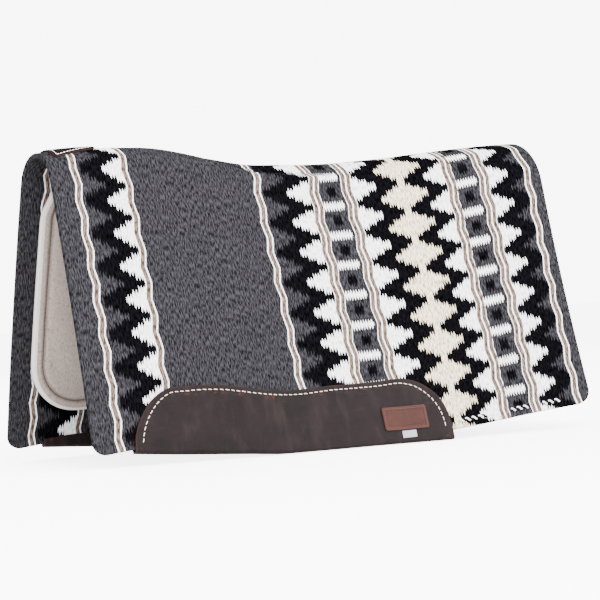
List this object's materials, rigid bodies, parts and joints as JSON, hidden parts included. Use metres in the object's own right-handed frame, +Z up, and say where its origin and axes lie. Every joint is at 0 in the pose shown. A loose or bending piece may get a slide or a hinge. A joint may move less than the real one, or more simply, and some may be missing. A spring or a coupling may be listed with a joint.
{
  "type": "saddle pad",
  "caption": "Contoured western saddle pad: woven wool blanket over a cushion core and felt liner, with leather wear strips, draped on its own hems.",
  "frame": {"origin": "centre of the pad's footprint, on the surface that it stands on", "axes": "+X towards the croup (rear) end, -Y the near (left) side, +Z up"},
  "size_m": [0.864, 0.37, 0.4658],
  "materials": {
    "woven_wool": "heathered flat weave with black, white, cream and taupe bands",
    "wool_felt": "pressed wool felt, flecked",
    "cushion_core": "needled cushion batt",
    "seam_tape": "woven cotton tape",
    "selvedge_yarn": "twined wool yarn, black, white and charcoal",
    "felt_thread": "waxed bonded thread",
    "stitch_thread": "waxed bonded thread, cream",
    "wear_leather": "oiled full-grain leather, dark brown",
    "label_leather": "smooth red-brown leather, plain",
    "woven_tag": "plain woven tape"
  },
  "bodies": {
    "spine": {"blanket_crest": "woven_wool", "core_crest": "cushion_core", "felt_crest": "wool_felt", "spine_seam_tape": "seam_tape", "spine_seam_thread": "selvedge_yarn", "withers_patch": "wear_leather", "withers_patch_stitching": "stitch_thread"},
    "left_flap": {"left_blanket": "woven_wool", "left_core": "cushion_core", "left_felt": "wool_felt", "left_felt_stitching": "felt_thread", "left_wear_leather": "wear_leather", "left_wear_stitching": "stitch_thread", "left_selvedge": "selvedge_yarn", "label_patch": "label_leather", "label_stitching": "stitch_thread", "woven_tag": "woven_tag"},
    "right_flap": {"right_blanket": "woven_wool", "right_core": "cushion_core", "right_felt": "wool_felt", "right_felt_stitching": "felt_thread", "right_wear_leather": "wear_leather", "right_wear_stitching": "stitch_thread", "right_selvedge": "selvedge_yarn"}
  },
  "joints": [
    {"name": "left_flap_fold", "type": "hinge", "parent": "spine", "child": "left_flap", "pos_m": [0, -0.07603, 0.38353], "axis": [-0.9996, 0.0292, 0], "range_deg": [-8, 70]},
    {"name": "right_flap_fold", "type": "hinge", "parent": "spine", "child": "right_flap", "pos_m": [0, 0.07603, 0.38353], "axis": [0.9996, 0.0292, 0], "range_deg": [-8, 70]}
  ]
}
